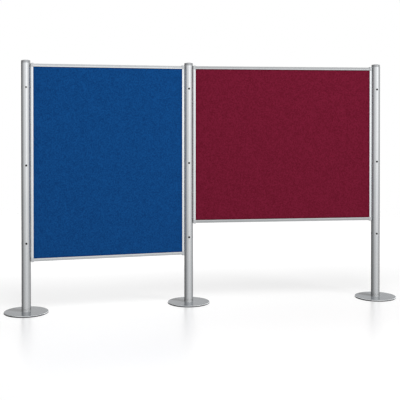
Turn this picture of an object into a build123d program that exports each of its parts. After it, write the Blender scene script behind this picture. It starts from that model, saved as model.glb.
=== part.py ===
from build123d import *
import os

# Office partition: two framed fabric panels hung between three round posts.
# Millimetres, +Z up. The origin is the middle of the middle post, on the floor.
# +X runs along the right wing. The viewer stands on the -Y side.

# Posts
post_height = 1950.0
post_diameter = 70.0
tube_wall = 2.5
hole_diameter = 13.0
top_hole_depth = 212.0
hole_pitch = 600.0
holes_in_a_row = 3

# Slightly domed cap on top of each post, with a hollow spigot inside the tube
cap_band = 18.0
cap_dome = 6.0
cap_edge_radius = 2.0
cap_spigot_length = 22.0
cap_spigot_wall = 2.5
cap_top_thickness = 5.0
cap_clearance = 0.1

# Round base under each post
base_diameter = 340.0
base_thickness = 10.0
base_edge_radius = 4.0
base_underside_radius = 1.5
pad_thickness = 2.0
pad_width = 12.0
pad_inset = 8.0

# Threaded plug in the foot of the tube, and the bolt that holds the disc to it
insert_height = 45.0
insert_clearance = 0.05
base_bolt_diameter = 12.0
base_bolt_length = 40.0
base_bolt_head_diameter = 24.0
base_bolt_hole_clearance = 0.3
base_bolt_socket = 8.0
base_bolt_socket_depth = 5.0
thread_clearance = 0.1

# Panels
blue_width = 1220.0
blue_height = 1526.0
red_width = 1500.0
red_height = 1271.0
panel_drop = 29.0
panel_gap = 1.5
blue_wing_turn = 8.0
half_turn = 180.0

# Aluminium bars round each panel, measured from their outer face inwards. The upright bars
# hold the board by a shorter lip than the level ones.
stile_face = 19.0
rail_face = 23.0
bar_depth = 28.0
outer_band = 13.5
outer_band_fall = 3.0
outer_edge_radius = 3.0
inner_band_step = 1.4
lip_radius = 1.0
groove_opening = 8.0
groove_lip = 2.0
groove_width = 14.0
groove_depth = 5.0
web = 1.5
chamber = 5.5
chamber_width = 19.0

# Soft board with a sheet of felt on each side
core_thickness = 17.0
fabric_thickness = 1.0
slot_clearance = 0.2
board_end_clearance = 0.5

# Corner blocks between the bars
block_width = 21.0
block_height = 25.0
block_proud = 5.5
block_depth = 29.0
block_outer_radius = 8.0
block_inner_radius = 4.0
block_edge_radius = 1.5
tenon_length = 30.0
tenon_clearance = 0.15

# Connector at each hole: a bolt from inside the post into a nut in the stile's groove.
# Its head pulls on an upright barrel that rocks against the inside of the tube.
barrel_diameter = 12.0
barrel_length = 24.0
barrel_gap = 0.3
barrel_seat = 4.5
connector_diameter = 6.0
connector_hole_clearance = 0.2
connector_head_diameter = 10.0
connector_head_height = 6.0
connector_head_clearance = 0.4
connector_socket = 5.0
connector_socket_depth = 3.0
slot_nut_length = 22.0
slot_nut_width = 13.0
slot_nut_thickness = 4.0
bolt_end = 0.5

# Run-out of every cut past the face it starts from
overrun = 20.0

post_radius = post_diameter / 2
tube_bore = post_radius - tube_wall
tube_foot = pad_thickness + base_thickness
cap_joint = post_height - cap_dome - cap_band
panel_top = post_height - panel_drop
hinge_radius = tube_bore - barrel_gap - barrel_diameter / 2
hinge_to_panel = post_radius + panel_gap - hinge_radius
hole_heights = [post_height - top_hole_depth - hole_pitch * row for row in range(holes_in_a_row)]

groove_floor = groove_lip + groove_depth
chamber_start = groove_floor + web
chamber_end = chamber_start + chamber
slot_floor = chamber_end + web
slot_width = core_thickness + 2 * fabric_thickness + 2 * slot_clearance
board_edge = slot_floor + board_end_clearance
crest = bar_depth / 2
shoulder = crest - outer_band_fall
inner_level = crest - inner_band_step

os.makedirs("parts", exist_ok=True)


def along(plane, distance):
    """The plane moved along its own x direction."""
    return Plane(
        origin=plane.from_local_coords((distance, 0, 0)),
        x_dir=plane.x_dir,
        z_dir=plane.z_dir,
    )


def inside(frame, origin, x_dir, z_dir):
    """A plane given in a post's or a panel's own frame."""
    return frame.moved(Plane(origin=origin, x_dir=x_dir, z_dir=z_dir))


def save(piece, name):
    """Label a finished piece and write it as its own file."""
    piece.part.label = name
    export_step(piece.part, f"parts/{name}.step")
    size = piece.part.bounding_box().size
    print(f"{name}: {len(piece.part.solids())} solid(s), {size.X:.1f} x {size.Y:.1f} x {size.Z:.1f}")


# Where each post and panel stands. Each frame is a plane on the floor whose x direction
# runs to the right along its wing. A panel's frame starts at its left outer face.
middle_floor = Plane.XY
red_floor = along(middle_floor, hinge_radius + hinge_to_panel)
right_floor = along(red_floor, red_width + hinge_to_panel + hinge_radius)
blue_hinge = along(middle_floor, -hinge_radius).rotated((0, 0, blue_wing_turn))
blue_floor = along(blue_hinge, -hinge_to_panel - blue_width)
left_floor = along(blue_floor, -hinge_to_panel - hinge_radius)


def make_base_disc(post, floor):
    """Steel disc with rounded edges and a countersunk hole from below."""
    with BuildPart() as disc:
        with BuildSketch(floor.offset(pad_thickness)):
            Circle(base_diameter / 2)
        extrude(amount=base_thickness)
        fillet(disc.edges().group_by(Axis.Z)[-1], radius=base_edge_radius)
        fillet(disc.edges().group_by(Axis.Z)[0], radius=base_underside_radius)
        with Locations(inside(floor, (0, 0, pad_thickness), (1, 0, 0), (0, 0, -1))):
            CounterSinkHole(
                radius=base_bolt_diameter / 2 + base_bolt_hole_clearance,
                counter_sink_radius=base_bolt_head_diameter / 2 + base_bolt_hole_clearance,
                depth=base_thickness,
            )
    save(disc, f"{post}_base_disc")


def make_floor_pad(post, floor):
    """Thin rubber ring glued under the disc, just inside its edge."""
    pad_radius = base_diameter / 2 - pad_inset
    with BuildPart() as pad:
        with BuildSketch(floor):
            Circle(pad_radius)
            Circle(pad_radius - pad_width, mode=Mode.SUBTRACT)
        extrude(amount=pad_thickness)
    save(pad, f"{post}_floor_pad")


def make_base_bolt(post, floor):
    """Countersunk bolt, flush with the underside of the disc."""
    head_depth = (base_bolt_head_diameter - base_bolt_diameter) / 2
    with BuildPart() as bolt:
        with BuildSketch(floor.offset(pad_thickness)):
            Circle(base_bolt_head_diameter / 2)
        with BuildSketch(floor.offset(pad_thickness + head_depth)):
            Circle(base_bolt_diameter / 2)
        loft()
        with BuildSketch(floor.offset(pad_thickness + head_depth)):
            Circle(base_bolt_diameter / 2)
        extrude(amount=base_bolt_length - head_depth)
        with BuildSketch(floor.offset(pad_thickness)):
            RegularPolygon(base_bolt_socket / 2, side_count=6, major_radius=False)
        extrude(amount=base_bolt_socket_depth, mode=Mode.SUBTRACT)
    save(bolt, f"{post}_base_bolt")


def make_foot_insert(post, floor):
    """Solid plug pressed into the foot of the tube, threaded for the base bolt."""
    with BuildPart() as insert:
        with BuildSketch(floor.offset(tube_foot)):
            Circle(tube_bore - insert_clearance)
            Circle(base_bolt_diameter / 2 + thread_clearance, mode=Mode.SUBTRACT)
        extrude(amount=insert_height)
    save(insert, f"{post}_foot_insert")


def make_tube(post, floor):
    """Round tube with a hole on each of its four sides at every height."""
    with BuildPart() as tube:
        with BuildSketch(floor.offset(tube_foot)):
            Circle(post_radius)
            Circle(tube_bore, mode=Mode.SUBTRACT)
        extrude(amount=cap_joint - tube_foot)
        for height in hole_heights:
            for side in ((1, 0, 0), (0, 1, 0)):
                with BuildSketch(inside(floor, (0, 0, height), (0, 0, 1), side)):
                    Circle(hole_diameter / 2)
                extrude(amount=post_radius + overrun, both=True, mode=Mode.SUBTRACT)
    save(tube, f"{post}_tube")


def make_top_cap(post, floor):
    """Domed cap flush with the tube, with a hollow spigot inside it."""
    spigot_radius = tube_bore - cap_clearance
    shoulder_height = post_height - cap_dome
    with BuildPart() as cap:
        with BuildSketch(inside(floor, (0, 0, 0), (1, 0, 0), (0, -1, 0))) as profile:
            with BuildLine():
                Polyline(
                    (0, post_height),
                    (0, cap_joint),
                    (post_radius, cap_joint),
                    (post_radius, shoulder_height),
                )
                TangentArc((0, post_height), (post_radius, shoulder_height), tangent=(1, 0))
            make_face()
            rim = profile.vertices().sort_by_distance((post_radius, shoulder_height))[0]
            fillet(rim, radius=cap_edge_radius)
        revolve(axis=Axis(floor.origin, (0, 0, 1)))
        with BuildSketch(floor.offset(cap_joint - cap_spigot_length)):
            Circle(spigot_radius)
        extrude(amount=cap_spigot_length)
        with BuildSketch(floor.offset(cap_joint - cap_spigot_length)):
            Circle(spigot_radius - cap_spigot_wall)
        extrude(amount=cap_spigot_length + cap_band - cap_top_thickness, mode=Mode.SUBTRACT)
    save(cap, f"{post}_top_cap")


def make_bar(name, start, length, face):
    """A length of panel bar. The plane's x direction points from its outer face inwards."""
    with BuildPart() as bar:
        with BuildSketch(start) as section:
            with BuildLine():
                Polyline(
                    (0, 0),
                    (0, shoulder),
                    (outer_band, crest),
                    (outer_band, inner_level),
                    (face, inner_level),
                    (face, 0),
                )
                mirror(about=Plane.XZ)
            make_face()
            fillet(section.vertices().group_by(Axis.X)[0], radius=outer_edge_radius)
            fillet(section.vertices().group_by(Axis.X)[-1], radius=lip_radius)
            with Locations((groove_lip / 2, 0)):
                Rectangle(groove_lip, groove_opening, mode=Mode.SUBTRACT)
            with Locations((groove_lip + groove_depth / 2, 0)):
                Rectangle(groove_depth, groove_width, mode=Mode.SUBTRACT)
            with Locations((chamber_start + chamber / 2, 0)):
                Rectangle(chamber, chamber_width, mode=Mode.SUBTRACT)
            with Locations(((slot_floor + face) / 2, 0)):
                Rectangle(face - slot_floor, slot_width, mode=Mode.SUBTRACT)
        extrude(amount=length)
    save(bar, name)


def make_corner_block(name, corner):
    """Block at one corner. The plane's x and y directions point inwards along the two bars."""
    tenon_width = chamber_width - 2 * tenon_clearance
    tenon_thickness = chamber - 2 * tenon_clearance
    tenon_middle = chamber_start + chamber / 2
    reach_across = block_width + tenon_length
    reach_up = block_height + tenon_length
    with BuildPart() as block:
        with BuildSketch(corner) as outline:
            with Locations((0, -block_proud)):
                Rectangle(block_width, block_height + block_proud, align=(Align.MIN, Align.MIN))
            outer_end = outline.vertices().group_by(Axis.Y)[0].sort_by(Axis.X)[0]
            fillet(outer_end, radius=block_outer_radius)
            inner_end = outline.vertices().group_by(Axis.Y)[0].sort_by(Axis.X)[-1]
            fillet(inner_end, radius=block_inner_radius)
        extrude(amount=block_depth / 2, both=True)
        fillet(block.faces().filter_by(corner).edges(), radius=block_edge_radius)
        with BuildSketch(corner):
            with Locations((slot_floor, slot_floor)):
                Rectangle(overrun, overrun, align=(Align.MIN, Align.MIN))
        extrude(amount=slot_width / 2, both=True, mode=Mode.SUBTRACT)
        with BuildSketch(corner):
            with Locations((tenon_middle, (slot_floor + reach_up) / 2)):
                Rectangle(tenon_thickness, reach_up - slot_floor)
            with Locations(((slot_floor + reach_across) / 2, tenon_middle)):
                Rectangle(reach_across - slot_floor, tenon_thickness)
        extrude(amount=tenon_width / 2, both=True)
    save(block, name)


def make_board(panel, floor, width, height):
    """The soft board and the two sheets of felt glued to it."""
    middle_height = panel_top - height / 2
    board_width = width - 2 * board_edge
    board_height = height - 2 * board_edge
    face = inside(floor, (width / 2, 0, middle_height), (1, 0, 0), (0, -1, 0))
    with BuildPart() as core:
        with BuildSketch(face):
            Rectangle(board_width, board_height)
        extrude(amount=core_thickness / 2, both=True)
    save(core, f"{panel}_core_board")
    sheets = {"front": core_thickness / 2, "back": -core_thickness / 2 - fabric_thickness}
    for side, start in sheets.items():
        with BuildPart() as felt:
            with BuildSketch(face.offset(start)):
                Rectangle(board_width, board_height)
            extrude(amount=fabric_thickness)
        save(felt, f"{panel}_{side}_fabric")


def make_panel(panel, floor, width, height):
    """Four bars, four corner blocks and the board of one panel."""
    bottom = panel_top - height
    stile_length = height - 2 * block_height
    rail_length = width - 2 * block_width
    up, across, back = (0, 0, 1), (1, 0, 0), (0, 1, 0)
    down, left = (0, 0, -1), (-1, 0, 0)
    stile_foot = bottom + block_height
    bars = {
        "left_stile": ((0, 0, stile_foot), across, up, stile_length, stile_face),
        "right_stile": ((width, 0, stile_foot), left, up, stile_length, stile_face),
        "top_rail": ((block_width, 0, panel_top), down, across, rail_length, rail_face),
        "bottom_rail": ((block_width, 0, bottom), up, across, rail_length, rail_face),
    }
    for bar, (origin, inwards, run, length, face) in bars.items():
        make_bar(f"{panel}_{bar}", inside(floor, origin, inwards, run), length, face)
    front = (0, -1, 0)
    corners = {
        "lower_left": inside(floor, (0, 0, bottom), across, front),
        "lower_right": inside(floor, (width, 0, bottom), left, back),
        "upper_left": inside(floor, (0, 0, panel_top), across, back),
        "upper_right": inside(floor, (width, 0, panel_top), left, front),
    }
    for place, corner in corners.items():
        make_corner_block(f"{panel}_{place}_block", corner)
    make_board(panel, floor, width, height)


def make_connectors(panel, side, hinge, heights):
    """Barrels, bolts and slot nuts of one side of a panel.

    The hinge plane stands on the rocking axis, with its x direction towards the panel.
    """
    seats = [inside(hinge, (0, 0, height), (0, 0, 1), (1, 0, 0)) for height in heights]
    nut_face = hinge_to_panel + groove_lip
    bolt_tip = nut_face + slot_nut_thickness + bolt_end
    shank = connector_diameter / 2

    with BuildPart() as barrels:
        for height, seat in zip(heights, seats):
            with BuildSketch(hinge.offset(height)):
                Circle(barrel_diameter / 2)
            extrude(amount=barrel_length / 2, both=True)
            with BuildSketch(seat):
                Circle(shank + connector_hole_clearance)
            extrude(amount=overrun, both=True, mode=Mode.SUBTRACT)
            with BuildSketch(seat.offset(-barrel_seat)):
                Circle(connector_head_diameter / 2 + connector_head_clearance)
            extrude(amount=-overrun, mode=Mode.SUBTRACT)
    save(barrels, f"{panel}_{side}_barrels")

    with BuildPart() as bolts:
        for seat in seats:
            with BuildSketch(seat.offset(-barrel_seat)):
                Circle(shank)
            extrude(amount=barrel_seat + bolt_tip)
            with BuildSketch(seat.offset(-barrel_seat - connector_head_height)):
                Circle(connector_head_diameter / 2)
            extrude(amount=connector_head_height)
            with BuildSketch(seat.offset(-barrel_seat - connector_head_height)):
                RegularPolygon(connector_socket / 2, side_count=6, major_radius=False)
            extrude(amount=connector_socket_depth, mode=Mode.SUBTRACT)
    save(bolts, f"{panel}_{side}_bolts")

    with BuildPart() as nuts:
        for seat in seats:
            with BuildSketch(seat.offset(nut_face)):
                Rectangle(slot_nut_length, slot_nut_width)
                Circle(shank + thread_clearance, mode=Mode.SUBTRACT)
            extrude(amount=slot_nut_thickness)
    save(nuts, f"{panel}_{side}_slot_nuts")


posts = (("left_post", left_floor), ("middle_post", middle_floor), ("right_post", right_floor))
for post, floor in posts:
    make_base_disc(post, floor)
    make_floor_pad(post, floor)
    make_base_bolt(post, floor)
    make_foot_insert(post, floor)
    make_tube(post, floor)
    make_top_cap(post, floor)

panels = (
    ("blue_panel", blue_floor, blue_width, blue_height),
    ("red_panel", red_floor, red_width, red_height),
)
for panel, floor, width, height in panels:
    make_panel(panel, floor, width, height)
    left_hinge = along(floor, -hinge_to_panel)
    right_hinge = along(floor, width + hinge_to_panel).rotated((0, 0, half_turn))
    lowest_nut = panel_top - height + block_height + slot_nut_length / 2
    used = [hole for hole in hole_heights if hole > lowest_nut]
    make_connectors(panel, "left", left_hinge, used)
    make_connectors(panel, "right", right_hinge, used)

for name, spot in (
    ("left post", left_floor.origin),
    ("left hinge of the blue panel", along(blue_floor, -hinge_to_panel).origin),
    ("right hinge of the blue panel", blue_hinge.origin),
    ("left hinge of the red panel", along(red_floor, -hinge_to_panel).origin),
    ("right hinge of the red panel", along(red_floor, red_width + hinge_to_panel).origin),
    ("right post", right_floor.origin),
):
    print(f"{name} stands at {spot.X:.3f}, {spot.Y:.3f}")
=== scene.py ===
# %% [markdown]
# An office partition: two felt pin panels in slim aluminium frames, hung between three
# round posts that stand on flat discs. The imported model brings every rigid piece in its
# true place. This script gives the pieces their finishes, lays worked felt over the
# boards and sets up a white studio. All lengths are in metres, and angles are written in
# degrees.

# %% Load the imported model
import bpy
import bmesh
from math import cos, exp, pi, radians, sin
from mathutils import Matrix, Vector, noise


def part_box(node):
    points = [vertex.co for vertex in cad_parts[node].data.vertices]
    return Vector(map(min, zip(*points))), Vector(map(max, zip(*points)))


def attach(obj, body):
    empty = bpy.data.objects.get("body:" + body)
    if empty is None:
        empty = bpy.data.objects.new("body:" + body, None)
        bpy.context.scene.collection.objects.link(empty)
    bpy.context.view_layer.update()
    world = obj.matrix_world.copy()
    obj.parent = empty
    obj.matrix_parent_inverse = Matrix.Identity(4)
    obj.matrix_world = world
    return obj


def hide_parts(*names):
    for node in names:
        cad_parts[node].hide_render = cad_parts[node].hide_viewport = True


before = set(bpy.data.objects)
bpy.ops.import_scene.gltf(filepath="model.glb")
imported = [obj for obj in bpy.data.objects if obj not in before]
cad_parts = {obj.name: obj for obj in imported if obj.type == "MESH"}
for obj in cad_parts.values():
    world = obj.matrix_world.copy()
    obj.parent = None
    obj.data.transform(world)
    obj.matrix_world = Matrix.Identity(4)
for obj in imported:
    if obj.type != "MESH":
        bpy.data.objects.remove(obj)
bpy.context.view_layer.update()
POSTS = ("left_post", "middle_post", "right_post")
scene = bpy.context.scene

# %% [markdown]
# Materials and node groups are built in code, so each needs many nodes that are added,
# set and plugged together. Doing that line by line hides the idea of a finish behind
# its wiring. A few small helpers keep it short: they add a node with its inputs, do one
# calculation, stretch a value, mix two colours and write a grey.

# %% Helpers for nodes
def feed(tree, socket, value):
    """Plug a source into a socket, or write a plain value on it."""
    if isinstance(value, bpy.types.NodeSocket):
        tree.links.new(value, socket)
    else:
        socket.default_value = value


def add(tree, kind, inputs=None, **fields):
    """Add a node, set its fields, and feed its inputs."""
    node = tree.nodes.new("ShaderNode" + kind)
    for field, value in fields.items():
        setattr(node, field, value)
    for socket, value in (inputs or {}).items():
        feed(tree, node.inputs[socket], value)
    return node


def maths(tree, operation, first, second=0.0):
    """One calculation with two values."""
    return add(tree, "Math", {0: first, 1: second}, operation=operation).outputs[0]


def spread(tree, value, low, high, to_low=0.0, to_high=1.0):
    """Stretch the part of a value between low and high over a new range, with soft ends."""
    inputs = {0: value, 1: low, 2: high, 3: to_low, 4: to_high}
    return add(tree, "MapRange", inputs, interpolation_type="SMOOTHSTEP").outputs[0]


def blended(tree, factor, first, second):
    """Mix two colours by a factor."""
    return add(tree, "Mix", {0: factor, 6: first, 7: second}, data_type="RGBA").outputs[2]


def grey(level, warmth=0.0):
    """A neutral colour, a little cooler where warmth is below zero."""
    return (level * (1 + warmth), level, level * (1 - warmth), 1.0)


# %% [markdown]
# Effects that several finishes share are node groups, so that each is built once and
# changed in one place. Two helpers start a group with named sockets and place it in a
# material, and a third prints what was made.

# %% Helpers for groups
NUMBER = "NodeSocketFloat"
COLOUR = "NodeSocketColor"
VECTOR = "NodeSocketVector"


def new_group(name, inputs, outputs):
    """A shader node group with named sockets. Inputs are (label, kind, value)."""
    group = bpy.data.node_groups.new(name, "ShaderNodeTree")
    for label, kind, value in inputs:
        socket = group.interface.new_socket(name=label, in_out="INPUT", socket_type=kind)
        socket.default_value = value
    for label, kind in outputs:
        group.interface.new_socket(name=label, in_out="OUTPUT", socket_type=kind)
    given = group.nodes.new("NodeGroupInput").outputs
    end = group.nodes.new("NodeGroupOutput").inputs
    return group, given, end


def use(tree, group, **inputs):
    """Place a group in a tree. Underscores in the names stand for spaces."""
    node = tree.nodes.new("ShaderNodeGroup")
    node.node_tree = group
    for label, value in inputs.items():
        feed(tree, node.inputs[label.replace("_", " ")], value)
    return node.outputs


def made(thing):
    """Print how many nodes a group, material or world has, and hand it on."""
    tree = getattr(thing, "node_tree", thing)
    print(f"{thing.name}: {len(tree.nodes)} nodes")
    return thing


# %% [markdown]
# Aluminium that is drawn through a die keeps faint straight lines along its length. A
# picture of lines could be wrapped round each bar, but it needs an unwrap and repeats.
# Noise that is squeezed across the bar and stretched along it gives endless lines of
# any length, and one group serves posts, stiles and slanting rails by its direction.

# %% Group for drawn lines
def make_drawn_lines():
    """Fine lines along a direction, as a value from 0 to 1."""
    group, given, end = new_group(
        "drawn lines",
        [("Along", VECTOR, (0.0, 0.0, 1.0)), ("Scale", NUMBER, 500.0), ("Stretch", NUMBER, 0.01)],
        [("Lines", NUMBER)],
    )
    place = add(group, "TexCoord").outputs["Object"]
    length = add(group, "VectorMath", {0: place, 1: given["Along"]}, operation="DOT_PRODUCT")
    share = maths(group, "SUBTRACT", 1.0, given["Stretch"])
    taken = maths(group, "MULTIPLY", length.outputs["Value"], share)
    shift = add(group, "VectorMath", {0: given["Along"], "Scale": taken}, operation="SCALE")
    across = add(group, "VectorMath", {0: place, 1: shift.outputs[0]}, operation="SUBTRACT")
    fine = {"Vector": across.outputs[0], "Scale": given["Scale"], "Detail": 3.0, "Roughness": 0.6}
    pattern = add(group, "TexNoise", fine)
    group.links.new(spread(group, pattern.outputs[0], 0.25, 0.75), end["Lines"])
    return group


drawn_lines = made(make_drawn_lines())

# %% [markdown]
# No finish is perfectly even: anodising, powder coat and plastic all vary a little over
# a hand's width. Painting that by hand would tie it to one piece. Two octaves of soft
# noise in the piece's own space give the same patches from every side.

# %% Group for soft patches
def make_soft_patches():
    """Slow variation from 0 to 1."""
    group, given, end = new_group("soft patches", [("Scale", NUMBER, 12.0)], [("Value", NUMBER)])
    place = add(group, "TexCoord").outputs["Object"]
    pattern = add(group, "TexNoise", {"Vector": place, "Scale": given["Scale"], "Detail": 1.5})
    group.links.new(spread(group, pattern.outputs[0], 0.3, 0.7), end["Value"])
    return group


soft_patches = made(make_soft_patches())

# %% [markdown]
# Handled edges lose a little of their finish. Pointiness needs a dense mesh, which these
# long bars don't have. A Bevel node looks round each edge instead: where its rounded
# normal leaves the true one, an edge is near, whatever the mesh.

# %% Group for edge wear
def make_edge_wear():
    """Mask of worn edges, broken up by noise."""
    group, given, end = new_group(
        "edge wear",
        [("Width", NUMBER, 0.0015), ("Amount", NUMBER, 0.5)],
        [("Mask", NUMBER)],
    )
    rounded = add(group, "Bevel", {"Radius": given["Width"]}, samples=4)
    true = add(group, "NewGeometry").outputs["Normal"]
    match = add(group, "VectorMath", {0: rounded.outputs[0], 1: true}, operation="DOT_PRODUCT")
    near = spread(group, match.outputs["Value"], 0.975, 0.8)
    place = add(group, "TexCoord").outputs["Object"]
    breaks = add(group, "TexNoise", {"Vector": place, "Scale": 90.0, "Detail": 4.0})
    broken = maths(group, "MULTIPLY", near, spread(group, breaks.outputs[0], 0.4, 0.65))
    group.links.new(maths(group, "MULTIPLY", broken, given["Amount"]), end["Mask"])
    return group


edge_wear = made(make_edge_wear())

# %% [markdown]
# A little dust settles on what faces up: the discs, the tops of the rails and the caps.
# It could be particles, but at this size it only dulls and lightens the finish. The
# upward part of the normal, broken by noise, is all that it takes.

# %% Group for settled dust
def make_settled_dust():
    """Mask of dust on faces that look up."""
    group, given, end = new_group(
        "settled dust", [("Amount", NUMBER, 0.2), ("Scale", NUMBER, 60.0)], [("Mask", NUMBER)]
    )
    normal = add(group, "NewGeometry").outputs["Normal"]
    up = spread(group, add(group, "SeparateXYZ", {0: normal}).outputs["Z"], 0.4, 0.95)
    place = add(group, "TexCoord").outputs["Object"]
    flecks = add(group, "TexNoise", {"Vector": place, "Scale": given["Scale"], "Detail": 6.0})
    covered = maths(group, "MULTIPLY", up, spread(group, flecks.outputs[0], 0.35, 0.7))
    group.links.new(maths(group, "MULTIPLY", covered, given["Amount"]), end["Mask"])
    return group


settled_dust = made(make_settled_dust())

# %% [markdown]
# Powder coat and moulded plastic share a skin of tiny rounded grains. Real displacement
# of grains this small would need millions of faces, so they are bump. The group gives
# their height, and each material sets how deep they go.

# %% Group for a fine grained skin
def make_grained_skin():
    """Height of small rounded grains, with softer swells under them."""
    group, given, end = new_group(
        "grained skin", [("Scale", NUMBER, 900.0), ("Swell", NUMBER, 0.4)], [("Height", NUMBER)]
    )
    place = add(group, "TexCoord").outputs["Object"]
    close = {"Vector": place, "Scale": given["Scale"]}
    grains = add(group, "TexVoronoi", close, feature="SMOOTH_F1")
    broad = maths(group, "MULTIPLY", given["Scale"], 0.12)
    swells = add(group, "TexNoise", {"Vector": place, "Scale": broad, "Detail": 2.0})
    raised = maths(group, "MULTIPLY", swells.outputs[0], given["Swell"])
    group.links.new(maths(group, "ADD", grains.outputs["Distance"], raised), end["Height"])
    return group


grained_skin = made(make_grained_skin())

# %% [markdown]
# Every finish ends in one Principled shader. Values that are the same all over a surface
# are written on its sockets, and only what changes over the surface is plugged in. The
# helpers make the material and its shader, so each finish below shows only its own idea.

# %% Helpers for a finish
def plug(tree, shader, **sources):
    """Feed a shader by its socket names. Underscores in the names stand for spaces."""
    for label, source in sources.items():
        feed(tree, shader.inputs[label.replace("_", " ")], source)


def new_finish(name, **sockets):
    """A material, its tree and its Principled shader with plain values on its sockets."""
    material = bpy.data.materials.new(name)
    material.use_nodes = True
    tree = material.node_tree
    shader = tree.nodes["Principled BSDF"]
    plug(tree, shader, **sockets)
    return material, tree, shader


def relief(tree, height, depth, strength=1.0):
    """A normal from a height, where depth is how far a height of 1 stands up."""
    return add(tree, "Bump", {"Height": height, "Distance": depth, "Strength": strength}).outputs[0]


# %% [markdown]
# The posts and the panel bars are satin anodised aluminium: a bare metal look with a
# soft, slightly streaked shine. The finish differs between pieces only in its tone, its
# roughness and the way its lines run, so one function makes all of them. Stiles and rails
# of one frame are the same metal, so their different tones are painted light and shade.

# %% Anodised aluminium
LINE_DEPTH = 0.000008
FRESH_METAL = 0.9
PALE_DUST = 0.7


def make_aluminium(name, tone, roughness, along):
    """Satin aluminium whose drawn lines run along a direction."""
    material, tree, shader = new_finish(name, Metallic=1.0, Specular_Tint=grey(0.0))
    lines = use(tree, drawn_lines, Along=along, Scale=700.0, Stretch=0.004)["Lines"]
    patches = use(tree, soft_patches, Scale=5.0)["Value"]
    wear = use(tree, edge_wear, Width=0.0008, Amount=0.35)["Mask"]
    dust = use(tree, settled_dust, Amount=0.12)["Mask"]
    plain = blended(tree, patches, grey(tone * 0.985, -0.026), grey(tone * 1.015, -0.02))
    streaks = maths(tree, "MULTIPLY", lines, 0.2)
    streaked = blended(tree, streaks, plain, grey(tone * 0.95, -0.03))
    worn = blended(tree, wear, streaked, grey(min(tone * 1.2, FRESH_METAL)))
    dusty = blended(tree, dust, worn, grey(PALE_DUST, 0.01))
    rough = maths(tree, "ADD", maths(tree, "MULTIPLY", lines, 0.04), roughness)
    dull = maths(tree, "ADD", rough, maths(tree, "MULTIPLY", dust, 0.5))
    plug(tree, shader, Base_Color=dusty, Roughness=dull, Normal=relief(tree, lines, LINE_DEPTH))
    return made(material)


blue_turn = radians(8.0)
upright = (0.0, 0.0, 1.0)
along_blue = (cos(blue_turn), sin(blue_turn), 0.0)
along_red = (1.0, 0.0, 0.0)
post_metal = make_aluminium("post_aluminium_satin", 0.54, 0.2, upright)
# Lit and shaded copies of one aluminium: a lighter tone on the stiles, a darker one on the blue rails
# and the darkest on the red rails, as painted light and shade.
stile_metal_lit_copy = make_aluminium("stile_aluminium_lit_copy", 0.66, 0.22, upright)
blue_rail_metal_shaded_copy = make_aluminium("blue_rail_aluminium_shaded_copy", 0.53, 0.3, along_blue)
red_rail_metal_darker_copy = make_aluminium("red_rail_aluminium_darker_copy", 0.43, 0.3, along_red)

# %% [markdown]
# Caps and corner blocks are moulded in silver grey plastic that holds fine metal flake
# and has a grained skin. They look like the aluminium beside them but duller and a shade
# greyer, so a partly metallic shader with a grained bump fits better than either plain
# plastic or plain metal.

# %% Silver plastic
FLAKE_DEPTH = 0.00004


def make_silver_plastic(name, tone, roughness, share_of_metal):
    """Moulded plastic with metal flake."""
    material, tree, shader = new_finish(name, Metallic=share_of_metal)
    patches = use(tree, soft_patches, Scale=25.0)["Value"]
    wear = use(tree, edge_wear, Width=0.0012, Amount=0.5)["Mask"]
    dust = use(tree, settled_dust, Amount=0.2)["Mask"]
    skin = use(tree, grained_skin, Scale=1400.0, Swell=0.5)["Height"]
    plain = blended(tree, patches, grey(tone * 0.97, -0.03), grey(tone * 1.02, -0.025))
    worn = blended(tree, wear, plain, grey(tone * 1.25))
    dusty = blended(tree, dust, worn, grey(0.66, 0.015))
    rough = maths(tree, "ADD", maths(tree, "MULTIPLY", patches, 0.06), roughness)
    dull = maths(tree, "ADD", rough, maths(tree, "MULTIPLY", dust, 0.4))
    plug(tree, shader, Base_Color=dusty, Roughness=dull, Normal=relief(tree, skin, FLAKE_DEPTH))
    return made(material)


cap_finish = make_silver_plastic("cap_silver_plastic", 0.34, 0.3, 0.85)
corner_finish = make_silver_plastic("corner_silver_plastic", 0.45, 0.36, 0.6)

# %% [markdown]
# The discs are steel under a silver powder coat. In the picture the foot of the post is
# mirrored in the disc, and its shadow lies across the disc too, so the coat is part metal
# and part paint. A dull metal alone would show no shadow, and plain paint no mirrored
# foot. The rounded rim gets a bright tone, which is a painted highlight, and strong edge
# wear, which is partly one too. The cut side below it gets a near black tone, which is
# painted shade. How far the surface faces up, from 0 on the side to 1 on top, tells the
# zones apart.

# %% Powder coated discs
# Where the painted shade on the cut side and the painted highlight on the rim start and end, and
# their tones.
SIDE_SHADE_ENDS = (0.42, 0.15)
RIM_HIGHLIGHT_STARTS = (0.22, 0.47)
RIM_HIGHLIGHT_ENDS = (0.99, 0.93)
RIM_HIGHLIGHT_TONE = 0.9
SIDE_SHADE_TONE = 0.012
COAT_METAL = 0.28
COAT_ROUGHNESS = 0.13
COAT_DEPTH = 0.00002


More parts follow.
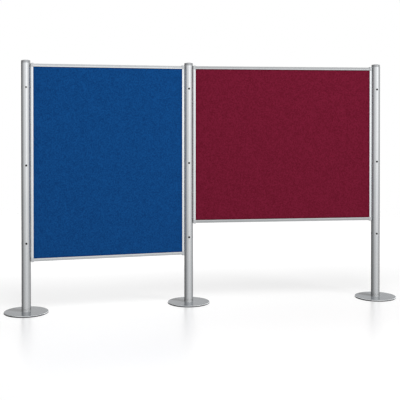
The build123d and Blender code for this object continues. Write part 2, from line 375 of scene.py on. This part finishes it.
def make_disc_finish():
    """Silver powder coat with a painted highlight on the rim, painted shade on the side and dust on
    top.
    """
    material, tree, shader = new_finish("disc_powder_coat", Specular_IOR_Level=0.3)
    patches = use(tree, soft_patches, Scale=14.0)["Value"]
    # Strong edge wear brightens the rim, partly a painted highlight.
    wear = use(tree, edge_wear, Width=0.003, Amount=0.9)["Mask"]
    dust = use(tree, settled_dust, Amount=0.12, Scale=45.0)["Mask"]
    skin = use(tree, grained_skin, Scale=700.0, Swell=1.2)["Height"]
    normal = add(tree, "NewGeometry").outputs["Normal"]
    tilt = add(tree, "SeparateXYZ", {0: normal}).outputs["Z"]
    side = spread(tree, tilt, *SIDE_SHADE_ENDS)
    past_side, before_top = spread(tree, tilt, *RIM_HIGHLIGHT_STARTS), spread(tree, tilt, *RIM_HIGHLIGHT_ENDS)
    rim_painted_light = maths(tree, "MULTIPLY", past_side, before_top)
    plain = blended(tree, patches, grey(0.135, -0.075), grey(0.155, -0.07))
    dusty = blended(tree, dust, plain, grey(0.34, -0.02))
    worn = blended(tree, wear, dusty, grey(0.4))
    # Painted highlight: a bright tone on the rounded rim.
    rim_highlighted = blended(tree, rim_painted_light, worn, grey(RIM_HIGHLIGHT_TONE, -0.02))
    # Painted shade: a near black tone on the cut side.
    colour = blended(tree, side, rim_highlighted, grey(SIDE_SHADE_TONE, -0.03))
    metal = add(tree, "MapRange", {0: rim_painted_light, 1: 0.0, 2: 1.0, 3: COAT_METAL, 4: 1.0}).outputs[0]
    rough = maths(tree, "ADD", maths(tree, "MULTIPLY", patches, 0.04), COAT_ROUGHNESS)
    dull = maths(tree, "ADD", rough, maths(tree, "MULTIPLY", dust, 0.4))
    dull = maths(tree, "ADD", dull, maths(tree, "MULTIPLY", rim_painted_light, 0.15))
    bumps = relief(tree, skin, COAT_DEPTH)
    plug(tree, shader, Base_Color=colour, Metallic=metal, Roughness=dull, Normal=bumps)
    return made(material)


disc_finish = make_disc_finish()

# %% [markdown]
# A thin ring of black rubber lies under each disc. Little of it shows, but it can be seen
# from below. Rubber is a plain rough shader that is almost black, and what keeps it from
# looking like paint is a chalky bloom, so soft patches lighten it a little.

# %% Rubber
RUBBER_DEPTH = 0.00008


def make_rubber():
    """Matt black rubber with a chalky bloom."""
    material, tree, shader = new_finish("pad_black_rubber", Roughness=0.75, Specular_IOR_Level=0.3)
    bloom = use(tree, soft_patches, Scale=40.0)["Value"]
    skin = use(tree, grained_skin, Scale=600.0)["Height"]
    colour = blended(tree, bloom, grey(0.018), grey(0.04, 0.02))
    plug(tree, shader, Base_Color=colour, Normal=relief(tree, skin, RUBBER_DEPTH))
    return made(material)


pad_finish = make_rubber()

# %% [markdown]
# The threaded plugs in the feet are turned from aluminium, and the bolts, barrels and slot
# nuts are zinc plated. Both are bare metals with clouds in their shine and a fine grain.
# The grain is the group for drawn lines again: a stretch of 1 leaves its noise the same
# in every direction.

# %% Turned aluminium and zinc
GRAIN_DEPTH = 0.00002


def make_bare_metal(name, tone, warmth, roughness, spots):
    """Turned or plated metal with a cloudy shine."""
    material, tree, shader = new_finish(name, Metallic=1.0)
    clouds = use(tree, soft_patches, Scale=spots)["Value"]
    grain = use(tree, drawn_lines, Scale=900.0, Stretch=1.0)["Lines"]
    colour = blended(tree, clouds, grey(tone * 0.9, warmth), grey(tone, 0.0))
    rough = maths(tree, "ADD", maths(tree, "MULTIPLY", clouds, 0.12), roughness)
    plug(tree, shader, Base_Color=colour, Roughness=rough, Normal=relief(tree, grain, GRAIN_DEPTH))
    return made(material)


insert_finish = make_bare_metal("insert_turned_aluminium", 0.68, 0.0, 0.3, 80.0)
zinc_finish = make_bare_metal("fastener_bright_zinc", 0.6, -0.03, 0.25, 160.0)

# %% [markdown]
# Behind the felt lies a soft board of pressed wood fibre: pale brown pulp with darker,
# short fibres. A picture of wood would show the long grain of a plank. Two brown tones in
# clouds, and lines that are drawn out only a little for the fibres, come closer.

# %% Fibre board
FIBRE_DEPTH = 0.0003


def make_fibre_board():
    """Soft board of pressed wood fibre."""
    material, tree, shader = new_finish("core_fibre_board", Roughness=0.9, Specular_IOR_Level=0.2)
    fibres = use(tree, drawn_lines, Along=(1.0, 0.0, 0.0), Scale=260.0, Stretch=0.3)["Lines"]
    clouds = use(tree, soft_patches, Scale=30.0)["Value"]
    pulp = blended(tree, clouds, (0.42, 0.31, 0.2, 1.0), (0.5, 0.39, 0.27, 1.0))
    colour = blended(tree, maths(tree, "MULTIPLY", fibres, 0.4), pulp, (0.33, 0.23, 0.14, 1.0))
    plug(tree, shader, Base_Color=colour, Normal=relief(tree, fibres, FIBRE_DEPTH))
    return made(material)


board_finish = make_fibre_board()

# %% [markdown]
# The panels are covered in needled felt: short fibres punched into a mat, with no weave.
# It is matt, faintly mottled in patches a few centimetres wide, and lighter single
# fibres lie on top. Hair strands would be the literal way, but over four square metres
# they cost far more than they show. Layered noise carries the mottle and the fibres,
# which lie in two directions, and the two colours share one group.

# %% Group for needled felt
CURL = 0.012
BROAD_SHARE = 0.12
STRAND_SQUEEZES = ((1.0, 1.0, 0.22), (0.25, 0.6, 1.0))
STRAND_RELIEF = 0.5


def make_needled_felt():
    """Colour and height of felt from its own three colours."""
    group, given, end = new_group(
        "needled felt",
        [
            ("Colour", COLOUR, (0.5, 0.5, 0.5, 1.0)),
            ("Deep", COLOUR, (0.4, 0.4, 0.4, 1.0)),
            ("Fibre", COLOUR, (0.6, 0.6, 0.6, 1.0)),
            ("Mottle", NUMBER, 0.6),
            ("Fibres", NUMBER, 0.3),
        ],
        [("Color", COLOUR), ("Height", NUMBER)],
    )
    place = add(group, "TexCoord").outputs["Object"]
    warp = add(group, "TexNoise", {"Vector": place, "Scale": 45.0, "Detail": 2.0})
    bend = {0: warp.outputs[1], 1: (CURL, CURL, CURL)}
    bent = add(group, "VectorMath", bend, operation="MULTIPLY").outputs[0]
    curled = add(group, "VectorMath", {0: place, 1: bent}, operation="ADD").outputs[0]
    broad = {"Vector": place, "Scale": 16.0, "Detail": 2.0, "Roughness": 0.5}
    patches = add(group, "TexNoise", broad)
    fine = {"Vector": curled, "Scale": 105.0, "Detail": 4.0, "Roughness": 0.65}
    clumps = add(group, "TexNoise", fine)
    layers = []
    for squeeze in STRAND_SQUEEZES:
        lay = add(group, "VectorMath", {0: curled, 1: squeeze}, operation="MULTIPLY").outputs[0]
        strands = add(group, "TexNoise", {"Vector": lay, "Scale": 1500.0, "Detail": 2.0})
        layers.append(spread(group, strands.outputs[0], 0.5, 0.72))
    strand = maths(group, "MAXIMUM", layers[0], layers[1])
    slow = maths(group, "MULTIPLY", patches.outputs[0], BROAD_SHARE)
    quick = maths(group, "MULTIPLY", clumps.outputs[0], 1 - BROAD_SHARE)
    uneven = maths(group, "ADD", slow, quick)
    dark = maths(group, "MULTIPLY", spread(group, uneven, 0.62, 0.36), given["Mottle"])
    ground = blended(group, dark, given["Colour"], given["Deep"])
    light = maths(group, "MULTIPLY", strand, given["Fibres"])
    group.links.new(blended(group, light, ground, given["Fibre"]), end["Color"])
    raised = maths(group, "MULTIPLY", strand, STRAND_RELIEF)
    group.links.new(maths(group, "ADD", raised, clumps.outputs[0]), end["Height"])
    return group


needled_felt = made(make_needled_felt())

# %% [markdown]
# Blue and burgundy felt differ only in dye. A low specular level and a weak sheen keep
# the surface matt from the front and let it lighten slightly at a slant, as short
# standing fibres do.

# %% Felt finishes
RIM_SHADE = 0.75
PILE_DEPTH = 0.0006


def make_felt(name, colour, deep, fibre, mottle):
    """Matt felt in one dye, with painted shade along the frame."""
    material, tree, shader = new_finish(
        name,
        Roughness=0.95,
        Specular_IOR_Level=0.12,
        Sheen_Weight=0.02,
        Sheen_Roughness=0.5,
        Sheen_Tint=fibre,
    )
    dye = {"Colour": colour, "Deep": deep, "Fibre": fibre}
    felt = use(tree, needled_felt, Mottle=mottle, Fibres=0.2, **dye)
    # Painted shade: the felt darkens towards the frame, read from a mesh attribute.
    rim_painted_light = add(tree, "Attribute", attribute_name="rim_painted_light").outputs["Fac"]
    shaded = blended(tree, maths(tree, "MULTIPLY", rim_painted_light, RIM_SHADE), felt["Color"], deep)
    plug(tree, shader, Base_Color=shaded, Normal=relief(tree, felt["Height"], PILE_DEPTH, 0.7))
    return made(material)


blue_felt = make_felt(
    "blue_needled_felt",
    colour=(0.0036, 0.0583, 0.211, 1.0),
    deep=(0.0009, 0.0275, 0.1185, 1.0),
    fibre=(0.013, 0.087, 0.268, 1.0),
    mottle=0.88,
)
red_felt = make_felt(
    "burgundy_needled_felt",
    colour=(0.149, 0.0078, 0.0264, 1.0),
    deep=(0.0755, 0.0014, 0.0079, 1.0),
    fibre=(0.227, 0.02, 0.049, 1.0),
    mottle=0.65,
)

# %% [markdown]
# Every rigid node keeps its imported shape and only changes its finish. The name of a node
# says which piece it is, so a short list of endings and finishes dresses all of them. The
# posts stay bright down to the foot in the picture, so they don't mirror the discs.

# %% Dress the rigid nodes
FINISHES = (
    ("_tube", post_metal),
    ("_top_cap", cap_finish),
    ("_base_disc", disc_finish),
    ("_floor_pad", pad_finish),
    ("_foot_insert", insert_finish),
    ("_stile", stile_metal_lit_copy),
    ("_block", corner_finish),
    ("_core_board", board_finish),
    ("_base_bolt", zinc_finish),
    ("_barrels", zinc_finish),
    ("_bolts", zinc_finish),
    ("_slot_nuts", zinc_finish),
    ("blue_panel_top_rail", blue_rail_metal_shaded_copy),
    ("blue_panel_bottom_rail", blue_rail_metal_shaded_copy),
    ("red_panel_top_rail", red_rail_metal_darker_copy),
    ("red_panel_bottom_rail", red_rail_metal_darker_copy),
)
dressed = 0
for name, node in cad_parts.items():
    for ending, finish in FINISHES:
        if name.endswith(ending):
            node.material_slots[0].material = finish
            dressed += 1
for post in POSTS:
    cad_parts[f"{post}_base_disc"].visible_glossy = False
print(f"{dressed} nodes have their finish")

# %% [markdown]
# The felt is glued to the board and its edges disappear in the slot of the frame. Cloth
# simulation would only find the flat state again, so each sheet is a grid. Its shape
# changes quickly beside the frame and slowly elsewhere, so the lines of the grid stand
# closer together near the frame.

# %% Grid lines of a felt sheet
CELL = 0.011
NEAR_FRAME = (0.0, 0.0035, 0.0065, 0.0085, 0.0105, 0.0135, 0.018, 0.024, 0.032)


def stations(length):
    """Places of the grid lines along one side, closer together near both ends."""
    first = NEAR_FRAME[-1]
    count = round((length - 2 * first) / CELL)
    inner = [first + (length - 2 * first) * step / count for step in range(1, count)]
    return list(NEAR_FRAME) + inner + [length - place for place in reversed(NEAR_FRAME)]


# %% [markdown]
# Where the lip of a bar pinches the felt, it sits low, and beside the lip it swells a
# little. The mat is slightly uneven too, in slow and quick waves that calm down towards
# the frame. The lips of the level bars are longer than those of the upright ones.

# %% Relief of the felt
SIDE_LIP = 0.003
LEVEL_LIP = 0.007
SWELL = 0.0006
SWELL_WIDTH = 0.006
UNEVEN = 0.0003
CALM_WIDTH = 0.05
SLOW_WAVES = 4
QUICK_WAVES = 19


def past_lips(across, up, width, height):
    """How far a place lies inside the lips of the frame."""
    beside = min(across, width - across) - SIDE_LIP
    return min(beside, min(up, height - up) - LEVEL_LIP)


def rise(across, up, width, height, seed):
    """How far the felt stands above its flat level."""
    edge = past_lips(across, up, width, height)
    if edge <= 0:
        return 0.0
    swell = SWELL * (1 - exp(-edge / SWELL_WIDTH))
    calm = min(edge / CALM_WIDTH, 1.0)
    slow = noise.noise(Vector((across * SLOW_WAVES, up * SLOW_WAVES, seed)))
    quick = noise.noise(Vector((across * QUICK_WAVES, up * QUICK_WAVES, seed + 5)))
    return swell + calm * UNEVEN * (0.5 + 0.6 * slow + 0.35 * quick)


# %% [markdown]
# A sheet is two grids, the face that shows and the glued back, joined by strips along the
# four sides. A Solidify modifier could add the back, but it would swell with the face. The
# sheet is laid square to the axes first and then turned into the plane of its panel.

# %% Helpers for a closed sheet
def lay_grids(mesh, low, columns, rows, face_level, glue_level):
    """Both vertex grids of a sheet. The level of the face depends on the place."""
    face_grid, glue_grid = [], []
    for up in rows:
        face_row, glue_row = [], []
        for across in columns:
            x, z = low[0] + across, low[2] + up
            face_row.append(mesh.verts.new((x, face_level(across, up), z)))
            glue_row.append(mesh.verts.new((x, glue_level, z)))
        face_grid.append(face_row)
        glue_grid.append(glue_row)
    return face_grid, glue_grid


def close_sheet(mesh, face_grid, glue_grid):
    """Faces over both grids and round the four sides."""
    for grid in (face_grid, glue_grid):
        for lower, upper in zip(grid, grid[1:]):
            for i in range(len(lower) - 1):
                mesh.faces.new((lower[i], lower[i + 1], upper[i + 1], upper[i]))
    for face_line, glue_line in (
        (face_grid[0], glue_grid[0]),
        (face_grid[-1], glue_grid[-1]),
        ([row[0] for row in face_grid], [row[0] for row in glue_grid]),
        ([row[-1] for row in face_grid], [row[-1] for row in glue_grid]),
    ):
        for i in range(len(face_line) - 1):
            mesh.faces.new((face_line[i], face_line[i + 1], glue_line[i + 1], glue_line[i]))
    bmesh.ops.recalc_face_normals(mesh, faces=mesh.faces)


def to_object(mesh, name, finish):
    """Turn a finished bmesh into a smooth object with its finish."""
    data = bpy.data.meshes.new(name)
    mesh.to_mesh(data)
    mesh.free()
    data.materials.append(finish)
    data.shade_smooth()
    piece = bpy.data.objects.new(name, data)
    scene.collection.objects.link(piece)
    return piece


# %% [markdown]
# Each panel has one sheet in front and one behind, and both stand for the plain fabric of
# the imported model. How near a vertex is to the frame is stored as an attribute on the
# mesh, and the felt's finish reads it to paint a soft dark line of shade along the frame.

# %% Build the felt sheets
# Width of the painted shade along the frame.
RIM_SHADE_WIDTH = 0.006


def wing_box(node, turn):
    """Lowest and highest corner of a node, in axes that run along its own panel."""
    unturned = Matrix.Rotation(-turn, 3, "Z")
    points = [unturned @ vertex.co for vertex in node.data.vertices]
    low = [min(point[i] for point in points) for i in range(3)]
    high = [max(point[i] for point in points) for i in range(3)]
    return low, high


def make_felt_sheet(panel, side, turn, finish, seed):
    """A closed sheet of felt in place of a panel's plain fabric node."""
    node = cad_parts[f"{panel}_{side}_fabric"]
    low, high = wing_box(node, turn)
    width, height = high[0] - low[0], high[2] - low[2]
    outward = -1 if side == "front" else 1
    outer, inner = (low[1], high[1]) if side == "front" else (high[1], low[1])

    def face_level(across, up):
        return outer + outward * rise(across, up, width, height, seed)

    mesh = bmesh.new()
    grids = lay_grids(mesh, low, stations(width), stations(height), face_level, inner)
    close_sheet(mesh, *grids)
    # How much painted shade each vertex gets beside the frame.
    rim_shade_levels = []
    for vertex in mesh.verts:
        edge = past_lips(vertex.co.x - low[0], vertex.co.z - low[2], width, height)
        rim_shade_levels.append(exp(-max(edge, 0.0) / RIM_SHADE_WIDTH))
    mesh.transform(Matrix.Rotation(turn, 4, "Z"))
    felt = to_object(mesh, f"{panel}_{side}_felt", finish)
    felt.data.attributes.new("rim_painted_light", "FLOAT", "POINT").data.foreach_set("value", rim_shade_levels)
    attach(felt, panel)
    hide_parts(node.name)
    print(f"{felt.name}: {width:.3f} x {height:.3f} m, {len(felt.data.polygons)} faces")


for seed, side in enumerate(("front", "back")):
    make_felt_sheet("blue_panel", side, blue_turn, blue_felt, 11.3 + seed)
    make_felt_sheet("red_panel", side, 0.0, red_felt, 31.7 + seed)

# %% [markdown]
# Holes that hold no panel are closed with plugs, so that nobody looks through the post.
# A black disc would do from the front, but a real plug has a thin flange that follows
# the round wall, a shallow dish, and a shank that snaps behind the wall. It is turned
# from one profile and its face is then laid on the curve of the tube. The profile runs
# from the middle of the face to the middle of the shank, as radius and depth under the
# round wall. A depth below zero stands proud of it.

# %% Shape of a hole plug
PLUG_PROFILE = (
    (0.0, 0.0004),
    (0.0042, 0.0003),
    (0.0056, -0.0002),
    (0.0071, -0.0006),
    (0.0080, -0.0005),
    (0.0083, -0.0001),
    (0.0083, 0.0001),
    (0.0064, 0.0004),
    (0.0063, 0.0030),
    (0.0066, 0.0038),
    (0.0058, 0.0056),
    (0.0048, 0.0056),
    (0.0044, 0.0030),
    (0.0, 0.0028),
)
PLUG_SEGMENTS = 40
POST_RADIUS = 0.035


def turned_plug(mesh, axis_point, outward):
    """Turn the plug's profile about an outward axis, with its face on the round wall."""
    axis = Vector(outward)
    sideways = axis.cross(Vector((0, 0, 1))).normalized()
    rings = []
    for radius, depth in PLUG_PROFILE:
        ring = []
        for step in range(PLUG_SEGMENTS if radius else 1):
            angle = 2 * pi * step / PLUG_SEGMENTS
            across, up = radius * cos(angle), radius * sin(angle)
            reach = ((POST_RADIUS - depth) ** 2 - across**2) ** 0.5
            place = axis_point + axis * reach + sideways * across + Vector((0, 0, up))
            ring.append(mesh.verts.new(place))
        rings.append(ring)
    for inner, outer in zip(rings, rings[1:]):
        for i in range(PLUG_SEGMENTS):
            j = (i + 1) % PLUG_SEGMENTS
            if len(inner) == 1:
                mesh.faces.new((inner[0], outer[i], outer[j]))
            elif len(outer) == 1:
                mesh.faces.new((inner[i], outer[0], inner[j]))
            else:
                mesh.faces.new((inner[i], outer[i], outer[j], inner[j]))


# %% [markdown]
# The plugs are moulded in matt plastic. All but one are near black, with a tone close to
# zero and a low specular level, so the black stays black beside bright metal. This near
# black is partly painted shade of an open hole. Where the top hole of the left post shows
# grey, its plug is a grey copy of the same plastic, which is a painted highlight.

# %% Finish of the plugs
PLUG_DEPTH = 0.00003


def make_plug_finish(name, dark, pale, roughness):
    """Matt moulded plastic."""
    material, tree, shader = new_finish(name, Roughness=roughness, Specular_IOR_Level=0.2)
    patches = use(tree, soft_patches, Scale=60.0)["Value"]
    skin = use(tree, grained_skin, Scale=1800.0)["Height"]
    colour = blended(tree, patches, grey(dark), grey(pale))
    plug(tree, shader, Base_Color=colour, Normal=relief(tree, skin, PLUG_DEPTH))
    return made(material)


# Near black, partly painted shade of an open hole.
black_plug = make_plug_finish("plug_black_plastic", 0.003, 0.006, 0.6)
# A grey copy of the plug plastic: painted highlight.
painted_highlight_plug = make_plug_finish("plug_grey_painted_highlight", 0.16, 0.2, 0.5)

# %% [markdown]
# Every post has holes on four sides at three heights. The front and the back of each are
# open, and so is the outer side of both end posts. The red panel ends above the lowest
# holes, so those of the middle and right post that face it are closed as well. The plugs
# of one post and colour are one piece that rides on its post.

# %% Hole plugs
HOLE_HEIGHTS = (1.738, 1.138, 0.538)
FRONT, BACK, LEFT, RIGHT = (0, -1, 0), (0, 1, 0), (-1, 0, 0), (1, 0, 0)


def make_plugs(post, label, places, finish):
    """Plugs of one post and one colour as one piece. Places are (height, outward)."""
    low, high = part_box(f"{post}_tube")
    centre = (low + high) / 2
    wing = blue_turn if post == "left_post" else 0.0
    mesh = bmesh.new()
    for height, outward in places:
        direction = Matrix.Rotation(wing, 3, "Z") @ Vector(outward)
        turned_plug(mesh, Vector((centre.x, centre.y, height)), direction)
    bmesh.ops.recalc_face_normals(mesh, faces=mesh.faces)
    plugs = to_object(mesh, f"{post}_{label}", finish)
    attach(plugs, post)
    print(f"{plugs.name}: {len(places)} plugs")


both_faces = [(height, outward) for height in HOLE_HEIGHTS for outward in (FRONT, BACK)]
left_holes = [(height, LEFT) for height in HOLE_HEIGHTS]
right_holes = [(height, RIGHT) for height in HOLE_HEIGHTS]
# The grey copy, a painted highlight, closes the top front hole of the left post.
make_plugs("left_post", "painted_highlight_plug", both_faces[:1], painted_highlight_plug)
make_plugs("left_post", "hole_plugs", both_faces[1:] + left_holes, black_plug)
make_plugs("middle_post", "hole_plugs", both_faces + right_holes[-1:], black_plug)
make_plugs("right_post", "hole_plugs", both_faces + right_holes + left_holes[-1:], black_plug)

# %% [markdown]
# The floor is plain and white. Lit by the lamps alone it would turn grey near the object,
# so what the camera sees of it is partly its own even white, as in a cut-out studio
# picture, and its shadows stay soft and pale. It is matt in front, and polished round the
# feet and behind them, where the posts are faintly mirrored. Far off it turns clear, and
# the white room shows in its place, so that no horizon is seen. Matt surfaces get the
# bounce of a true white floor.

# %% Helper for what the camera sees
def seen_directly(tree):
    """1 for the rays of the camera, also behind something clear, and 0 for all others."""
    rays = add(tree, "LightPath").outputs
    return maths(tree, "MAXIMUM", rays["Is Camera Ray"], rays["Is Transmission Ray"])


# %% [markdown]
# Four values steer the paint: the true white that lights the object, the darker one that
# the camera sees, the glow that is added to it, and the polish. The glow and the polish
# change with the depth, which is the distance behind the middle post.

# %% White studio floor
FLOOR_REACH = 8.0
FADE_START = 4.0
WHITE = 0.93
SEEN_WHITE = 0.37
GLOW_FRONT = 0.59
GLOW_NEAR = 0.39
GLOW_BACK = 0.1
POLISH = 0.9
FRONT_DEPTHS = (-1.9, -0.5)
BACK_DEPTHS = (0.6, 2.4)


def make_floor_paint():
    """White paint, matt in front and polished behind, that fades out far from the object."""
    material, tree, shader = new_finish("floor_white_paint", Roughness=0.3, Coat_Roughness=0.3)
    place = add(tree, "TexCoord").outputs["Object"]
    depth = add(tree, "SeparateXYZ", {0: place}).outputs["Y"]
    seen = seen_directly(tree)
    patches = use(tree, soft_patches, Scale=3.0)["Value"]
    paint = blended(tree, patches, grey(WHITE * 0.995), grey(WHITE))
    colour = blended(tree, seen, paint, grey(SEEN_WHITE))
    polish = spread(tree, depth, *FRONT_DEPTHS, 0.0, POLISH)
    plug(tree, shader, Base_Color=colour, Specular_IOR_Level=polish, Coat_Weight=polish)
    glow = spread(tree, depth, *FRONT_DEPTHS, GLOW_FRONT, GLOW_NEAR)
    glow = maths(tree, "ADD", glow, spread(tree, depth, *BACK_DEPTHS, 0.0, GLOW_BACK))
    own_light = add(tree, "Emission", {"Strength": maths(tree, "MULTIPLY", seen, glow)})
    lifted = add(tree, "AddShader", {0: shader.outputs[0], 1: own_light.outputs[0]})
    reach = add(tree, "VectorMath", {0: place}, operation="LENGTH").outputs["Value"]
    far = spread(tree, reach, FADE_START, FLOOR_REACH)
    clear = add(tree, "BsdfTransparent")
    both = add(tree, "MixShader", {0: far, 1: lifted.outputs[0], 2: clear.outputs[0]})
    tree.links.new(both.outputs[0], tree.nodes["Material Output"].inputs[0])
    return made(material)


def make_floor():
    """A level square for the studio floor. Mirroring pieces don't see it."""
    near, far = -FLOOR_REACH, FLOOR_REACH
    corners = [(near, near, 0.0), (far, near, 0.0), (far, far, 0.0), (near, far, 0.0)]
    data = bpy.data.meshes.new("studio_floor")
    data.from_pydata(corners, [], [(0, 1, 2, 3)])
    data.materials.append(make_floor_paint())
    floor = bpy.data.objects.new("studio_floor", data)
    floor.visible_glossy = False
    scene.collection.objects.link(floor)
    print(f"{floor.name}: {far - near:.0f} m across")


make_floor()

# %% [markdown]
# The room is white, but round posts show their form only if the metal finds darker
# places to mirror: a studio stands dark cards at the sides and lays one on the floor.
# Modelled cards would cast shadows and move against each post, so the room itself holds
# their tones, for glossy rays alone: one ramp over the compass at eye level, one below it
# for the floor, and one above it, which is dark at the back left as the rims of the discs
# are. Each tone stands at an angle from the front, and 90 degrees is to the right.

# %% Tones round the room
EYE_TONES = (
    (-180, 1.0),
    (-170, 0.95),
    (-160, 0.45),
    (-135, 0.11),
    (-120, 0.17),
    (-105, 0.4),
    (-75, 0.55),
    (-60, 0.74),
    (-36, 1.22),
    (-12, 1.29),
    (0, 1.53),
    (12, 1.62),
    (24, 2.05),
    (36, 1.95),
    (48, 1.42),
    (60, 1.3),
    (72, 1.18),
    (84, 0.86),
    (104, 1.02),
    (123, 1.4),
    (140, 1.3),
    (155, 0.75),
    (165, 0.75),
    (180, 1.0),
)
FLOOR_TONES = (
    (-180, 0.4),
    (-150, 0.22),
    (-120, 0.3),
    (-90, 0.28),
    (-75, 0.36),
    (-60, 0.5),
    (-36, 0.7),
    (-12, 0.82),
    (0, 0.9),
    (48, 0.92),
    (60, 0.8),
    (72, 0.69),
    (84, 0.72),
    (102, 0.74),
    (135, 0.64),
    (165, 0.56),
    (180, 0.4),
)
HIGH_TONES = (
    (-180, 1.0),
    (-170, 0.8),
    (-158, 0.3),
    (-130, 0.1),
    (-95, 0.12),
    (-65, 0.5),
    (-35, 0.95),
    (180, 1.0),
)
print(f"{len(EYE_TONES + FLOOR_TONES + HIGH_TONES)} tones round the room")

# %% [markdown]
# The world blends the three ramps by the height that a ray looks to, where 0 is level and
# 1 is straight up, and ends in a bright ceiling. Only mirroring pieces see these tones:
# matt surfaces get one even level of light, and the camera sees white.

# %% White room with darker sides
ROOM_LEVEL = 0.4
CEILING = 1.4
BELOW_EYE = (-0.01, -0.2)
ABOVE_EYE = (0.15, 0.5)
UNDER_CEILING = (0.75, 0.97)


def compass_ramp(tree, turn, tones):
    """Tones around the compass, where turn runs from 0 to 1."""
    ramp = add(tree, "ValToRGB", {0: turn})
    stops = ramp.color_ramp.elements
    while len(stops) < len(tones):
        stops.new(0.5)
    for stop, (angle, tone) in zip(stops, tones):
        stop.position = (angle + 180) / 360
        stop.color = grey(tone)
    return ramp.outputs[0]


def make_room():
    """World with an even level for matt surfaces and card tones for reflections."""
    world = bpy.data.worlds.new("studio_room")
    world.use_nodes = True
    tree = world.node_tree
    tree.nodes.clear()
    direction = add(tree, "SeparateXYZ", {0: add(tree, "TexCoord").outputs["Generated"]})
    toward = maths(tree, "MULTIPLY", direction.outputs["Y"], -1.0)
    compass = maths(tree, "ARCTAN2", direction.outputs["X"], toward)
    turn = add(tree, "MapRange", {0: compass, 1: -pi, 2: pi, 3: 0.0, 4: 1.0}).outputs[0]
    height = direction.outputs["Z"]
    start, full = BELOW_EYE
    below = add(tree, "MapRange", {0: height, 1: start, 2: full, 3: 0.0, 4: 1.0}).outputs[0]
    eye, ground = compass_ramp(tree, turn, EYE_TONES), compass_ramp(tree, turn, FLOOR_TONES)
    walls = blended(tree, below, eye, ground)
    high = compass_ramp(tree, turn, HIGH_TONES)
    upper = blended(tree, spread(tree, height, *ABOVE_EYE), walls, high)
    whole = blended(tree, spread(tree, height, *UNDER_CEILING), upper, grey(CEILING))
    plain = blended(tree, seen_directly(tree), grey(ROOM_LEVEL), grey(1.0))
    glossy = add(tree, "LightPath").outputs["Is Glossy Ray"]
    tone = blended(tree, glossy, plain, whole)
    light = add(tree, "Background", {"Color": tone, "Strength": 1.0})
    tree.links.new(light.outputs[0], add(tree, "OutputWorld").inputs[0])
    scene.world = made(world)


make_room()

# %% [markdown]
# Two softboxes shape the light. The one high in front gives the soft shadow on the floor
# behind the panels and lets the felt fall off a little towards its lower edge. The one at
# the front right evens out the felt. They are aimed at the middle of the row and hang far
# off, because a near lamp lights one end of it more than the other. In the picture each
# post lays a shadow across its disc, towards the back left. A stronger side lamp would lay
# shadows on the floor as well, so a third lamp is linked to the discs alone, and takes the
# place of the high one there.

# %% Softboxes
AIM = Vector((0.15, 0.0, 0.9))


def make_softbox(name, compass, slope, distance, size, level, discs=None):
    """Area lamp that lights level white ground to a level. Discs may be left out or lit alone."""
    turn, climb = radians(compass), radians(slope)
    away = Vector((sin(turn) * cos(climb), -cos(turn) * cos(climb), sin(climb)))
    lamp = bpy.data.lights.new(name, "AREA")
    lamp.shape = "RECTANGLE"
    lamp.size = lamp.size_y = size
    lamp.energy = level * (pi * distance) ** 2 / sin(climb)
    box = bpy.data.objects.new(name, lamp)
    box.location = AIM + away * distance
    box.rotation_mode = "QUATERNION"
    box.rotation_quaternion = away.to_track_quat("Z", "Y")
    box.visible_camera = False
    box.visible_glossy = False
    scene.collection.objects.link(box)
    if discs:
        chosen = bpy.data.collections.new(f"{name}_discs")
        for post in POSTS:
            chosen.objects.link(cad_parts[f"{post}_base_disc"])
        for member in chosen.collection_objects:
            member.light_linking.link_state = discs
        box.light_linking.receiver_collection = chosen
    print(f"{name}: {lamp.energy:.0f} W")


make_softbox("high_softbox", compass=3, slope=63, distance=8.0, size=2.6, level=0.56, discs="EXCLUDE")
make_softbox("side_softbox", compass=46, slope=42, distance=9.0, size=2.4, level=0.25)
make_softbox("low_softbox", compass=50, slope=40, distance=9.0, size=2.0, level=0.95, discs="INCLUDE")

# %% [markdown]
# The camera stands a little left of the middle post, at eye height, and looks almost
# level. The posts stay parallel in the picture, as a shift lens keeps them: the frame is
# moved down in place of tilting the camera.

# %% Camera
CAMERA_PLACE = (-0.761, -6.57, 1.506)
CAMERA_DIP = 0.61
CAMERA_TURN = -7.407
LENS = 73.4
FRAME_SHIFT = -0.1847


def make_camera():
    """Camera at the photograph's place, with its frame shifted down."""
    data = bpy.data.cameras.new("view")
    data.sensor_width = 36.0
    data.lens = LENS
    data.shift_y = FRAME_SHIFT
    data.clip_end = 200.0
    camera = bpy.data.objects.new("view", data)
    camera.location = CAMERA_PLACE
    camera.rotation_euler = (radians(90 - CAMERA_DIP), 0.0, radians(CAMERA_TURN))
    scene.collection.objects.link(camera)
    scene.camera = camera
    print(f"camera at {CAMERA_PLACE}, lens {LENS} mm")


make_camera()
scene.view_settings.view_transform = "Standard"
